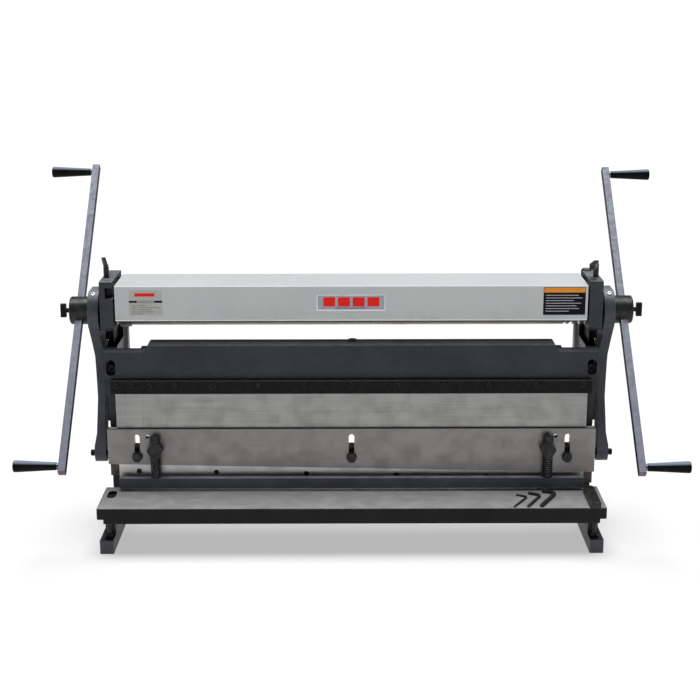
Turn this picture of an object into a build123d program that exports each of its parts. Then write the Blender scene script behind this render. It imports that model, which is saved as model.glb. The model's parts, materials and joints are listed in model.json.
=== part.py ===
"""Three-in-one sheet metal machine: shear, press brake and slip roll, worked by two cranks.

Millimetres. X runs to the operator's right, Y to the back, Z up. The origin lies on the bench,
at the centre of the four foot bolt holes.
"""

from build123d import *

import os
from math import cos, pi, radians, sin

os.makedirs("parts", exist_ok=True)

# ---------------------------------------------------------------- driving dimensions
work_width = 1016.0  # 40 in between the side frames
sides = {"left": -1, "right": 1}

foot_x, foot_y, foot_hole_r = 521.0, 180.0, 6.5
base_inner, base_outer, base_half, base_top = 506.0, 535.0, 196.0, 30.0
frame_inner, frame_outer = 506.0, 528.0
frame_mid = (frame_inner + frame_outer) / 2
arm_top = 73.5
frame_top = 449.0
way_y = -36.0  # front face of the frames, where the ram slides
beam_seat_y = -40.0  # front face of the frames, where the upper beam is bolted

table_half, table_front, table_top, table_thick = 537.0, -210.0, 107.0, 33.5
shear_y = -77.5  # back face of the lower blade
lower_blade_thick, lower_blade_height = 12.0, 20.0

ram_front, ram_back, ram_half, ram_top = -65.0, -36.5, 527.0, 195.3
die_thick, die_half, die_top = 20.0, 528.0, 242.0
die_front = ram_front - die_thick
die_bottom_mid, rake = 153.0, 10.0 / 528.0  # bottom edge of the die plate and its fall per mm of X
upper_blade_front, upper_blade_height = -77.0, 35.0

punch_front, punch_back, punch_tip = -77.0, -69.0, 240.8
punch_mid = (punch_front + punch_back) / 2
clamp_front, clamp_bottom, clamp_top, clamp_half = -88.0, 322.0, 352.0, 516.0
finger_widths = (20, 38, 52, 100, 176, 246, 384)
clamp_screw_x = (-505, -470, -432, -377, -295.5, -200, -100, 0, 98, 196.5, 294.5, 396, 495)
clamp_screw_z = 341.0
blade_screw_x = (-463, -295, -98.5, 98, 295, 491)
die_bolt_spots = ((-464.5, 180), (0, 178), (467.5, 178))  # x and z, at the foot of each slot

eccentricity = 12.0
roll_y, roll_z = 10.0, 472.0
crank_y, crank_z = roll_y, roll_z + eccentricity
roll_r, gear_module, gear_teeth = 20.5, 2.5, 17
roll_spacing = gear_module * gear_teeth
upper_z = roll_z + roll_spacing
rear_y, rear_z = 54.0, 478.0
roll_left, roll_right = -478.0, 503.0
journal_r, upper_journal_r, rear_journal_r = 15.0, 12.0, 10.0
running_fit = 0.05

bracket_inner, bracket_outer, bracket_front, bracket_top = 509.5, 538.0, -47.0, 559.0
bracket_mid = (bracket_inner + bracket_outer) / 2
hinge_y, hinge_z, hinge_r = 72.0, 543.0, 3.0
screw_x, screw_y = 528.5, 0.0  # pressure screws

pin_y, pin_z, pin_r = -45.0, 176.0, 7.0
rod_inner, rod_outer, ring_r = 544.0, 567.0, 52.0
hub_inner, hub_outer, hub_r = 567.5, 610.5, 30.5
bar_side, bar_half, bar_x = 16.0, 398.0, 590.5
bar_angle = {"left": 43.6, "right": 43.0}
bar_shift = {"left": 1.5, "right": -6.0}  # how far each bar is pushed up through its hub
grip_inner, grip_outer, grip_bore = 602.5, 691.0, 78.0

cover_front, cover_back, cover_top, cover_hem, cover_half = -47.0, 85.0, 549.6, 473.0, 505.4
sheet = 2.0

post_x, post_y, post_z = 424.0, -97.0, 200.0
hold_front, hold_back, hold_bottom, hold_top, hold_half = -105.0, -91.0, 113.5, 137.0, 503.0
spring_top = 181.0


def save(piece, label):
    """Label a finished sub-part and write it as a STEP file."""
    piece.part.label = label
    export_step(piece.part, f"parts/{label}.step")


def blade_edge(x):
    """Height of the die plate's raked bottom edge at x."""
    return die_bottom_mid - rake * x


def end_of_x(side, x):
    """Plane at side * x, facing outwards, with its own Y along the machine's Z."""
    return Plane(origin=(side * x, 0, 0), x_dir=(0, side, 0), z_dir=(side, 0, 0))


def side_spot(side, y, z):
    """Local place on such an outward plane of the point y, z."""
    return (side * y, z)


def add_rod_x(side, x_from, x_to, y, z, radius, mode=Mode.ADD):
    """A round bar along X between two distances from the middle."""
    with BuildSketch(end_of_x(side, x_from)) as disc:
        with Locations(side_spot(side, y, z)):
            Circle(radius)
    extrude(disc.sketch, amount=x_to - x_from, mode=mode)


def add_block(x_range, y_range, z_range, mode=Mode.ADD):
    """A box given by its lowest and highest values along each axis."""
    lows = [min(r) for r in (x_range, y_range, z_range)]
    sizes = [max(r) - min(r) for r in (x_range, y_range, z_range)]
    with Locations(tuple(low + size / 2 for low, size in zip(lows, sizes))):
        Box(*sizes, mode=mode)


def add_rod_y(x, z, y_from, y_to, radius, mode=Mode.ADD):
    """A round bar along Y from its front end to its back end."""
    with BuildSketch(Plane.XZ.offset(-y_from)) as disc:
        with Locations((x, z)):
            Circle(radius)
    extrude(disc.sketch, amount=-(y_to - y_from), mode=mode)


def add_hexagon_y(x, z, y_from, y_to, across_flats):
    """A hexagonal prism along Y with flats at its top and bottom."""
    with BuildSketch(Plane.XZ.offset(-y_from)) as hexagon:
        with Locations((x, z)):
            RegularPolygon(across_flats / 2, 6, major_radius=False)
    extrude(hexagon.sketch, amount=-(y_to - y_from))


# ---------------------------------------------------------------- side frames
def outline_of_frame():
    """Side view of a frame: foot, table arm, ram way, beam seat and rear lobe."""
    corners = [
        ((-base_half, 0), 2), ((base_half, 0), 2), ((base_half, base_top), 8),
        ((130, 40), 60), ((70, 130), 60), ((62, 330), 30), ((86, 380), 16), ((86, frame_top), 0),
        ((-14, frame_top), 0), ((-14, 424), 6), ((beam_seat_y, 412), 3), ((beam_seat_y, 240), 2),
        ((way_y, 234), 2), ((way_y, arm_top), 0), ((-158, arm_top), 4), ((-158, base_top), 5),
        ((-base_half, base_top), 3),
    ]
    with BuildLine() as outline:
        FilletPolyline(*[c[0] for c in corners], radius=[c[1] for c in corners], close=True)
    make_face(outline.edges())


def add_lobe(side):
    """Inboard lobe at the back of a frame's neck, lofted from its foot to its top."""
    foot = ((522, 58), (504, 58), (499, 66), (499, 96), (522, 96))
    crown = ((522, 58), (516, 58), (499, 80), (499, 96), (522, 96))
    sections = []
    for height, corners in ((372, foot), (446, crown)):
        with BuildSketch(Plane.XY.offset(height)) as section:
            with BuildLine() as rim:
                Polyline(*[(side * x, y) for x, y in corners], close=True)
            make_face(rim.edges())
        sections.append(section.sketch)
    loft(sections)


for side_name, side in sides.items():
    with BuildPart() as side_frame:
        with BuildSketch(Plane.YZ.offset(side * frame_mid)):
            outline_of_frame()
        extrude(amount=(frame_outer - frame_inner) / 2, both=True)
        add_block((side * base_inner, side * base_outer), (-base_half, base_half), (0, base_top))
        # lightening pockets leave a rim round the outer and inner faces
        for face_x in (frame_inner, frame_outer):
            with BuildSketch(Plane.YZ.offset(side * face_x)):
                with Locations((14, 265)):
                    RectangleRounded(58, 250, 20)
                with Locations((-60, 52)):
                    RectangleRounded(150, 22, 8)
            extrude(amount=5, both=True, mode=Mode.SUBTRACT)
        # the upper neck is thinner at the front, and widens outwards under the bracket
        add_block((side * frame_inner, side * 516), (-30, 56), (416, frame_top), Mode.SUBTRACT)
        add_block((side * 518, side * 534), (-14, 84), (425, frame_top))
        # a flange beside the ram way stands out towards the connecting rod
        add_block((side * 527, side * 533.5), (way_y + 1, -16), (246, 412))
        # its rear lobe stands inboard, with a facet that leans back towards the top
        add_lobe(side)
        # foot bolts, table screw, beam bolt and lower pivot of the roll bracket
        with Locations((side * foot_x, foot_y, 0), (side * foot_x, -foot_y, 0)):
            Cylinder(foot_hole_r, 200, mode=Mode.SUBTRACT)
        with Locations((side * 517, -122, arm_top - 15)):
            Cylinder(4.4, 30.02, mode=Mode.SUBTRACT)
        add_rod_y(side * 515.7, 372, beam_seat_y, beam_seat_y + 26, 6, Mode.SUBTRACT)
    save(side_frame, f"side_frame_{side_name}")

with BuildPart() as tie_rods:
    for rod_y, rod_z in ((120, 62), (44, 296)):
        add_rod_x(1, -frame_inner, frame_inner, rod_y, rod_z, 14)
save(tie_rods, "tie_rods")

# ---------------------------------------------------------------- table and shear
with BuildPart() as table:
    add_block((-table_half, table_half), (table_front, shear_y), (table_top - table_thick, table_top))
    fillet(table.edges().filter_by(Axis.Z).group_by(Axis.Y)[0], 4)
    chamfer(table.faces().sort_by(Axis.Z)[-1].edges().sort_by(Axis.Y)[0], 1.2)
    for side in sides.values():
        add_block((side * 523, side * 540), (table_front - 1, shear_y + 1), (70, 83), Mode.SUBTRACT)
        with Locations((side * 517, -122, table_top)):
            Cylinder(4.4, 80, mode=Mode.SUBTRACT)
    with BuildSketch(Plane.XY.offset(table_top)):
        with Locations((-517, -122)):
            SlotOverall(43, 19, rotation=90)
    extrude(amount=-12, mode=Mode.SUBTRACT)
    with BuildSketch(Plane.XY.offset(table_top)):
        with Locations((-517, -122)):
            SlotOverall(31, 8.8, rotation=90)
    extrude(amount=-40, mode=Mode.SUBTRACT)
    with Locations((513, -152, table_top - 10)):
        Cylinder(4.4, 20.02, mode=Mode.SUBTRACT)
    add_block((-work_width / 2, work_width / 2), (shear_y - lower_blade_thick, shear_y),
              (table_top - lower_blade_height, table_top + 1), Mode.SUBTRACT)
    for x in blade_screw_x:
        add_rod_y(x, table_top - 10, shear_y - 30, shear_y, 3.5, Mode.SUBTRACT)
save(table, "table")

with BuildPart() as table_screws:
    with Locations((-517, -122, 78)):
        Cylinder(4.4, 36)
    with Locations((-517, -122, 100)):
        Cylinder(7.5, 9)
    with BuildSketch(Plane.XY.offset(104.5)):
        with Locations((-517, -122)):
            RegularPolygon(3.6, 6)
    extrude(amount=-5, mode=Mode.SUBTRACT)
    for y, shank in ((-122, 52), (-152, 22)):
        with Locations((513 if y == -152 else 517, y, 115.5 - shank / 2)):
            Cylinder(4.4, shank)
    with Locations((517, -122, 118.5), (513, -152, 118.5)):
        Cylinder(6.5, 6)
    with BuildSketch(Plane.XY.offset(121.5)):
        with Locations((517, -122), (513, -152)):
            RegularPolygon(3.2, 6)
    extrude(amount=-4, mode=Mode.SUBTRACT)
save(table_screws, "table_screws")

with BuildPart() as table_jack_screws:
    for side in sides.values():
        with Locations((side * 518, -171, base_top + 3)):
            Cylinder(7.5, 6)
        with Locations((side * 518, -171, (base_top + arm_top) / 2)):
            Cylinder(4.5, arm_top - base_top)
save(table_jack_screws, "table_jack_screws")

with BuildPart() as lower_blade:
    add_block((-work_width / 2, work_width / 2), (shear_y - lower_blade_thick, shear_y),
              (table_top - lower_blade_height, table_top))
    for x in blade_screw_x:
        add_rod_y(x, table_top - 10, shear_y - lower_blade_thick, shear_y, 3.5, Mode.SUBTRACT)
        add_rod_y(x, table_top - 10, shear_y - 6, shear_y, 6, Mode.SUBTRACT)
save(lower_blade, "lower_blade")

with BuildPart() as lower_blade_screws:
    for x in blade_screw_x:
        add_rod_y(x, table_top - 10, shear_y - 28, shear_y - 5, 3.5)
        add_rod_y(x, table_top - 10, shear_y - 6, shear_y - 1, 5.9)
save(lower_blade_screws, "lower_blade_screws")

with BuildPart() as side_guide:
    with BuildSketch(Plane.XY.offset(table_top)):
        with BuildLine():
            Polyline((501, -116), (501, table_front + 1), (524, table_front + 1), (524, -116))
            RadiusArc((501, -116), (524, -116), 11.5)
        make_face()
    extrude(amount=13)
    chamfer(side_guide.faces().sort_by(Axis.Z)[-1].edges(), 0.8)
    for x, y in ((517, -122), (513, -152)):
        with Locations((x, y, table_top + 6)):
            Cylinder(4.4, 20, mode=Mode.SUBTRACT)
        with Locations((x, y, table_top + 12)):
            Cylinder(6.6, 7, mode=Mode.SUBTRACT)
save(side_guide, "side_guide")

hex_key_bends = (
    (4.0, (342, -205), (376, -147), (354, -134)),
    (5.5, (371, -205), (406, -139), (381, -126)),
    (7.5, (399, -204), (440, -127), (412, -115)),
)
with BuildPart() as hex_keys:
    for across, front_end, bend, short_end in hex_key_bends:
        lie = table_top + across / 2
        with BuildLine() as key_path:
            FilletPolyline((*front_end, lie), (*bend, lie), (*short_end, lie), radius=across * 1.5)
        start = key_path.line ^ 0
        with BuildSketch(start):
            RegularPolygon(across / 2, 6, major_radius=False)
        sweep(path=key_path.line)
save(hex_keys, "hex_keys")

# ---------------------------------------------------------------- upper beam and punch
def top_of_beam(x_half, bottom):
    """Front view of the beam: a raised middle that runs down to its ends in S-curves."""
    low, high, foot, shoulder = 411.8, 425.8, 446.5, 432.5
    with BuildLine() as outline:
        Polyline((-foot, low), (-x_half, low), (-x_half, bottom), (x_half, bottom), (x_half, low),
                 (foot, low))
        Bezier((foot, low), (438, low), (441, high), (shoulder, high))
        Line((shoulder, high), (-shoulder, high))
        Bezier((-shoulder, high), (-441, high), (-438, low), (-foot, low))
    make_face(outline.edges())


with BuildPart() as upper_beam:
    with BuildSketch(Plane.XZ.offset(-beam_seat_y)):
        top_of_beam(530, 318)
    extrude(amount=beam_seat_y - punch_back)
    with BuildSketch(Plane.XZ.offset(-punch_back)):
        top_of_beam(530, 353)
    extrude(amount=7)
    with BuildSketch(Plane.XZ.offset(20)):
        top_of_beam(455, 398)
    extrude(amount=20)
    add_rod_y(2.5, 407, beam_seat_y, -22, 22)
    for side in sides.values():
        with BuildSketch(Plane.XZ.offset(76)):
            with Locations((side * 515.7, 377)):
                SlotOverall(36, 20, rotation=90)
        extrude(amount=-18, mode=Mode.SUBTRACT)
        with BuildSketch(Plane.XZ.offset(76)):
            with Locations((side * 515.7, 377)):
                SlotOverall(28, 12.2, rotation=90)
        extrude(amount=-40, mode=Mode.SUBTRACT)
    for x in clamp_screw_x:
        add_rod_y(x, clamp_screw_z, punch_back, punch_back + 18, 4, Mode.SUBTRACT)
save(upper_beam, "upper_beam")

with BuildPart() as beam_bolts:
    for side in sides.values():
        add_rod_y(side * 515.7, 372, -60, beam_seat_y + 24, 6)
        add_rod_y(side * 515.7, 372, -66, -58, 9.4)
    with BuildSketch(Plane.XZ.offset(66)):
        for side in sides.values():
            with Locations((side * 515.7, 372)):
                RegularPolygon(5, 6)
    extrude(amount=-5, mode=Mode.SUBTRACT)
save(beam_bolts, "beam_bolts")

with BuildPart() as clamp_bar:
    add_block((-clamp_half, clamp_half), (clamp_front, punch_front), (clamp_bottom, clamp_top))
    chamfer(clamp_bar.edges().filter_by(Axis.X).group_by(Axis.Y)[0], 1)
    for x in clamp_screw_x:
        add_rod_y(x, clamp_screw_z, clamp_front, punch_front, 4, Mode.SUBTRACT)
save(clamp_bar, "clamp_bar")

with BuildPart() as clamp_screws:
    for x in clamp_screw_x:
        add_rod_y(x, clamp_screw_z, clamp_front - 1, punch_back + 17, 4)
        with BuildSketch(Plane(origin=(x, clamp_front, clamp_screw_z), x_dir=(1, 0, 0), z_dir=(0, -1, 0))):
            Circle(6.5)
        extrude(amount=4, taper=18)
        with BuildSketch(Plane.XZ.offset(-clamp_front + 4)):
            with Locations((x, clamp_screw_z)):
                RegularPolygon(2.6, 6)
        extrude(amount=-3, mode=Mode.SUBTRACT)
save(clamp_screws, "clamp_screws")

finger_gap = 0.15
finger_edges = [-work_width / 2]
for width in finger_widths:
    finger_edges.append(finger_edges[-1] + width)
with BuildPart() as punch_fingers:
    for low_x, high_x in zip(finger_edges, finger_edges[1:]):
        with BuildSketch(Plane.YZ.offset(low_x + finger_gap)):
            with BuildLine():
                Polyline((punch_front, 350), (punch_back, 350), (punch_back, 243.5),
                         (punch_mid + 1.2, punch_tip), (punch_mid - 1.2, punch_tip),
                         (punch_front, 243.5), close=True)
            make_face()
        extrude(amount=high_x - low_x - 2 * finger_gap)
    for x in clamp_screw_x:
        add_rod_y(x, clamp_screw_z, punch_front, punch_back, 4.1, Mode.SUBTRACT)
save(punch_fingers, "punch_fingers")

# ---------------------------------------------------------------- ram with die plate and upper blade
with BuildPart() as ram:
    with BuildSketch(Plane.XZ.offset(-ram_back)):
        with BuildLine():
            Polyline((-ram_half, ram_top), (ram_half, ram_top),
                     (ram_half, blade_edge(ram_half) - upper_blade_height + 2.5),
                     (-ram_half, blade_edge(-ram_half) - upper_blade_height + 2.5), close=True)
        make_face()
    extrude(amount=ram_back - ram_front)
    # the back is hollow between the end blocks, with stiffening ribs
    for bay in range(6):
        bay_left = -470 + bay * 158
        with BuildSketch(Plane.XZ.offset(-ram_back)):
            with Locations((bay_left + 75, 164)):
                RectangleRounded(146, 34, 6)
        extrude(amount=14, mode=Mode.SUBTRACT)
    for side in sides.values():
        # hooks behind the guide strips, and the cross slots for the rod pins
        add_block((side * 479, side * 487), (ram_back, -9), (140, 186))
        add_block((side * 479, side * 500), (-17, -9), (140, 186))
        add_block((side * 514.5, side * 528), (ram_front - 1, ram_back + 1),
                  (pin_z - pin_r - 3.2, pin_z + pin_r + 3.2), Mode.SUBTRACT)
    for x, z in die_bolt_spots:
        add_rod_y(x, z, ram_front, ram_front + 20, 5, Mode.SUBTRACT)
    for x in blade_screw_x:
        add_rod_y(x, blade_edge(x) - 17.5, ram_front, ram_front + 12, 3.5, Mode.SUBTRACT)
save(ram, "ram")

with BuildPart() as v_die_plate:
    with BuildSketch(Plane.XZ.offset(-ram_front)):
        with BuildLine():
            Polyline((-die_half, die_top), (die_half, die_top), (die_half, blade_edge(die_half)),
                     (-die_half, blade_edge(-die_half)), close=True)
        make_face()
    extrude(amount=die_thick)
    with BuildSketch(Plane.YZ.offset(-die_half)):
        with BuildLine():
            Polyline((punch_mid - 5, die_top + 0.5), (punch_mid, die_top - 5),
                     (punch_mid + 5, die_top + 0.5), close=True)
        make_face()
    extrude(amount=2 * die_half, mode=Mode.SUBTRACT)
    for x, bolt_z in die_bolt_spots:
        with BuildSketch(Plane.XZ.offset(-die_front)):
            with Locations((x, 198.5)):
                SlotOverall(63, 12, rotation=90)
        extrude(amount=-die_thick, mode=Mode.SUBTRACT)
    for side in sides.values():
        add_rod_y(side * 442, 225, die_front - 1, ram_front + 1, 4.5, Mode.SUBTRACT)
        add_rod_y(side * post_x, post_z, die_front, ram_front, 7, Mode.SUBTRACT)
save(v_die_plate, "v_die_plate")

with BuildPart() as die_bolts:
    for x, z in die_bolt_spots:
        add_rod_y(x, z, die_front - 2.5, ram_front + 18, 5)
        add_rod_y(x, z, die_front - 2.5, die_front, 11.5)
        add_hexagon_y(x, z, die_front - 12.5, die_front - 2.5, 18)
save(die_bolts, "die_bolts")

with BuildPart() as upper_blade:
    with BuildSketch(Plane.XZ.offset(-ram_front)):
        with BuildLine():
            Polyline((-506, blade_edge(-506)), (506, blade_edge(506)),
                     (506, blade_edge(506) - upper_blade_height),
                     (-506, blade_edge(-506) - upper_blade_height), close=True)
        make_face()
    extrude(amount=ram_front - upper_blade_front)
    for x in blade_screw_x:
        hole_z = blade_edge(x) - 17.5
        add_rod_y(x, hole_z, upper_blade_front, ram_front, 3.5, Mode.SUBTRACT)
        add_rod_y(x, hole_z, upper_blade_front, upper_blade_front + 7, 6, Mode.SUBTRACT)
save(upper_blade, "upper_blade")

with BuildPart() as upper_blade_screws:
    for x in blade_screw_x:
        hole_z = blade_edge(x) - 17.5
        add_rod_y(x, hole_z, upper_blade_front + 6, ram_front + 11, 3.5)
        add_rod_y(x, hole_z, upper_blade_front + 2, upper_blade_front + 7, 5.9)
save(upper_blade_screws, "upper_blade_screws")

# ---------------------------------------------------------------- spring hold-down
with BuildPart() as spring_posts:
    for side in sides.values():
        x = side * post_x
        add_rod_y(x, post_z, die_front - 2, ram_front, 7)
        add_hexagon_y(x, post_z, post_y - 11, die_front, 30.5)
        with Locations((x, post_y, (spring_top + post_z) / 2)):
            Cylinder(11.5, post_z - spring_top)
        with Locations((x, post_y, post_z)):
            Cylinder(5.3, 60, mode=Mode.SUBTRACT)
save(spring_posts, "spring_posts")

with BuildPart() as hold_down_bar:
    add_block((-hold_half, hold_half), (hold_front, hold_back), (hold_bottom, hold_top))
    for side in sides.values():
        with Locations((side * post_x, post_y, hold_top)):
            Cylinder(5, 24, mode=Mode.SUBTRACT)
save(hold_down_bar, "hold_down_bar")

with BuildPart() as hold_down_rods:
    rod_top, nut_low = 232.0, post_z + 15.8
    for side in sides.values():
        x = side * post_x
        with Locations((x, post_y, (hold_top - 12 + rod_top) / 2)):
            Cylinder(5, rod_top - hold_top + 12)
        with BuildSketch(Plane.XY.offset(nut_low)):
            with Locations((x, post_y)):
                RegularPolygon(10, 6, major_radius=False)
        extrude(amount=13)
save(hold_down_rods, "hold_down_rods")

spring_coil_r, spring_wire_r, spring_turns = 9.9, 1.4, 8
with BuildPart() as hold_down_springs:
    for side in sides.values():
        spring_path = Helix(
            pitch=(spring_top - hold_top - 2 * spring_wire_r - 0.4) / spring_turns,
            height=spring_top - hold_top - 2 * spring_wire_r - 0.4,
            radius=spring_coil_r,
            center=(side * post_x, post_y, hold_top + spring_wire_r + 0.2),
            mode=Mode.PRIVATE,
        )
        # a twelve-sided wire of the same section area as a round one
        with BuildSketch(spring_path ^ 0):
            RegularPolygon(spring_wire_r * 1.023, 12)
        sweep(path=spring_path, is_frenet=True)
save(hold_down_springs, "hold_down_springs")

with BuildPart() as ram_gibs:
    for side in sides.values():
        add_block((side * 488.5, side * frame_inner), (-35.5, -18.3), (84, 232))
save(ram_gibs, "ram_gibs")

# ---------------------------------------------------------------- roll brackets
for side_name, side in sides.items():
    with BuildPart() as roll_bracket:
        with BuildSketch(Plane.YZ.offset(side * bracket_mid)):
            with BuildLine():
                FilletPolyline((bracket_front, 458), (bracket_front, bracket_top), (84, bracket_top),
                               (84, frame_top), (-38, frame_top), radius=(3, 2, 6, 0, 3), close=True)
            make_face()
            with Locations((roll_y, roll_z)):
                Circle(19, mode=Mode.SUBTRACT)
            with Locations((roll_y, 519)):
                Rectangle(36, 46, mode=Mode.SUBTRACT)
        extrude(amount=(bracket_outer - bracket_inner) / 2, both=True)
        add_rod_x(side, bracket_inner, 522, hinge_y, hinge_z, hinge_r, Mode.SUBTRACT)
        with Locations((side * screw_x, screw_y, bracket_top - 6)):
            Cylinder(6.05, 30, mode=Mode.SUBTRACT)
        if side_name == "left":
            add_block((-526, -509), (bracket_front - 1, -22), (521, 546), Mode.SUBTRACT)
        else:
            with Locations((bracket_inner + 11, 71, bracket_top)):
                Cylinder(11, 7)
            fillet(roll_bracket.edges().filter_by(GeomType.CIRCLE).sort_by(Axis.Z)[-1], 2)
    save(roll_bracket, f"roll_bracket_{side_name}")

with BuildPart() as roll_bushes:
    for side in sides.values():
        add_rod_x(side, bracket_inner, bracket_outer, roll_y, roll_z, 19)
        add_rod_x(side, bracket_inner - 1, bracket_outer + 1, roll_y, roll_z, journal_r + running_fit,
                  Mode.SUBTRACT)
save(roll_bushes, "roll_bushes")

with BuildPart() as upper_roll_blocks:
    for side in sides.values():
        add_block((side * (bracket_inner + 0.5), side * (bracket_outer - 0.5)),
                  (roll_y - 17.7, roll_y + 17.7), (upper_z - 16, upper_z + 16))
        add_rod_x(side, bracket_inner - 1, bracket_outer + 1, roll_y, upper_z,
                  upper_journal_r + running_fit, Mode.SUBTRACT)
save(upper_roll_blocks, "upper_roll_blocks")


def add_pressure_screw(side, top):
    """Screw that bears on the upper roll's block, up to the root of its handle."""
    with Locations((side * screw_x, screw_y, (532 + top - 5) / 2)):
        Cylinder(6, top - 5 - 532)
    with Locations((side * screw_x, screw_y, top - 7)):
        Cylinder(5, 14)


with BuildPart() as pressure_screw_left:
    add_pressure_screw(-1, 588)
    with BuildSketch(Plane(origin=(-screw_x, screw_y, 588), x_dir=(-12, 38, 0), z_dir=(-38, -12, 0))):
        with BuildLine():
            Polyline((-3, 1), (4, -1), (28, -9), (40, -8), (38, -4), (14, 6), (-3, 8), close=True)
        make_face()
    extrude(amount=4, both=True)
save(pressure_screw_left, "pressure_screw_left")

with BuildPart() as pressure_screw_right:
    add_pressure_screw(1, 592)
    with BuildSketch(Plane.XY.offset(592 - 9)) as right_handle:
        with Locations((screw_x, screw_y)):
            Circle(5.2)
        with Locations((514, -37)):
            Circle(6.8)
        make_hull()
    extrude(amount=11)
save(pressure_screw_right, "pressure_screw_right")

# ---------------------------------------------------------------- rolls and gears
def add_turned_roll(y, z, radius, neck_r, neck_left, neck_right, left=roll_left, right=roll_right):
    """A roll with a neck at each end, turned about its own axis."""
    with BuildSketch(Plane(origin=(0, y, z), x_dir=(1, 0, 0), z_dir=(0, -1, 0))) as half_section:
        with BuildLine():
            Polyline((neck_left, 0), (neck_left, neck_r), (left, neck_r), (left, radius),
                     (right, radius), (right, neck_r), (neck_right, neck_r), (neck_right, 0),
                     close=True)
        make_face()
    revolve(half_section.sketch, axis=Axis((0, y, z), (1, 0, 0)))


def cut_wire_grooves(y, z):
    """Three round grooves of rising size for rolling wire, near the right end."""
    for x, groove_r in ((464, 3.0), (477, 4.0), (491.5, 5.0)):
        with BuildSketch(Plane(origin=(0, y, z), x_dir=(1, 0, 0), z_dir=(0, -1, 0))) as groove:
            with Locations((x, roll_r)):
                Circle(groove_r)
        revolve(groove.sketch, axis=Axis((0, y, z), (1, 0, 0)), mode=Mode.SUBTRACT)


gear_left, gear_right, gear_bore_r = -503.0, -479.0, 11.0
cheek_inner, cheek_outer, journal_end = 538.9, 543.5, 604.0
with BuildPart() as lower_roll:
    add_turned_roll(roll_y, roll_z, roll_r, journal_r, -cheek_inner, cheek_inner)
    cut_wire_grooves(roll_y, roll_z)
    for side_name, side in sides.items():
        add_rod_x(side, cheek_inner, cheek_outer, roll_y, roll_z, 29)
        add_rod_x(side, cheek_outer, journal_end, crank_y, crank_z, journal_r)
        # square cross hole for the crank bar and a clearance hole for the clamp screw
        bar_plane = Plane(origin=(side * bar_x, crank_y, crank_z), x_dir=(1, 0, 0),
                          z_dir=(0, cos(radians(bar_angle[side_name])), sin(radians(bar_angle[side_name]))))
        with BuildSketch(bar_plane):
            Rectangle(bar_side, bar_side)
        extrude(amount=40, both=True, mode=Mode.SUBTRACT)
        add_rod_x(side, bar_x, journal_end, crank_y, crank_z, 5.05, Mode.SUBTRACT)
    add_rod_x(1, gear_left - 0.2, gear_right + 1, roll_y, roll_z, journal_r + 1, Mode.SUBTRACT)
    add_rod_x(1, gear_left - 0.2, gear_right + 1, roll_y, roll_z, gear_bore_r)
save(lower_roll, "lower_roll")

with BuildPart() as upper_roll:
    add_turned_roll(roll_y, upper_z, roll_r, upper_journal_r, -538, 538)
    add_rod_x(1, gear_left - 0.2, gear_right + 1, roll_y, upper_z, upper_journal_r + 1, Mode.SUBTRACT)
    add_rod_x(1, gear_left - 0.2, gear_right + 1, roll_y, upper_z, gear_bore_r)
save(upper_roll, "upper_roll")


def add_gear(y, z, turn):
    """A spur gear with straight-flanked teeth, its first tooth turned from +Y by that many degrees."""
    pitch_r = gear_module * gear_teeth / 2
    root_r, tip_r = pitch_r - 1.25 * gear_module, pitch_r + 0.95 * gear_module
    half_root, half_pitch, half_tip = (360 / gear_teeth * share for share in (0.36, 0.215, 0.10))
    rim = []
    for tooth in range(gear_teeth):
        middle = turn + tooth * 360 / gear_teeth
        for radius, step in ((root_r, -half_root), (pitch_r, -half_pitch), (tip_r, -half_tip),
                             (tip_r, half_tip), (pitch_r, half_pitch), (root_r, half_root)):
            angle = radians(middle + step)
            rim.append((radius * cos(angle), radius * sin(angle)))
    with BuildSketch(Plane(origin=(gear_left, y, z), x_dir=(0, 1, 0), z_dir=(1, 0, 0))) as wheel:
        with BuildLine():
            Polyline(*rim, close=True)
        make_face()
        Circle(gear_bore_r, mode=Mode.SUBTRACT)
    extrude(wheel.sketch, amount=gear_right - gear_left)


# a tooth of the lower gear points straight up, into a gap of the upper one
with BuildPart() as lower_gear:
    add_gear(roll_y, roll_z, 90)
save(lower_gear, "lower_gear")

with BuildPart() as upper_gear:
    add_gear(roll_y, upper_z, -90 + 180 / gear_teeth)
save(upper_gear, "upper_gear")

slide_dir = Vector(0, -0.2, 0.98).normalized()
rear_right = 486.0
with BuildPart() as rear_roll:
    add_turned_roll(rear_y, rear_z, roll_r, rear_journal_r, -505, 505, roll_left, rear_right)
save(rear_roll, "rear_roll")


def slide_plane(x):
    """Plane across X through the rear roll, with its own Y along the roll's slide."""
    return Plane(origin=(x, rear_y, rear_z), x_dir=(0, slide_dir.Z, -slide_dir.Y), z_dir=(1, 0, 0))


guide_inner, guide_outer = 487.5, 505.6
with BuildPart() as rear_roll_guides:
    for side in sides.values():
        with BuildSketch(slide_plane(side * (guide_inner + guide_outer) / 2)):
            with Locations((5, 5.25)):
                RectangleRounded(44, 64.5, 6)
            with Locations((0, 10)):
                Rectangle(26.6, 47, mode=Mode.SUBTRACT)
        extrude(amount=(guide_outer - guide_inner) / 2, both=True)
        # room for the upper roll and its gear
        add_rod_x(side, guide_inner - 1, guide_outer + 1, roll_y, upper_z, 24.6, Mode.SUBTRACT)
        with BuildSketch(Plane(origin=(side * 496.5, rear_y, rear_z), x_dir=(1, 0, 0), z_dir=(0, 1, 0))):
            with Locations((0, -9)):
                Rectangle(9, 34)
        extrude(amount=50, mode=Mode.SUBTRACT)
save(rear_roll_guides, "rear_roll_guides")

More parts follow.
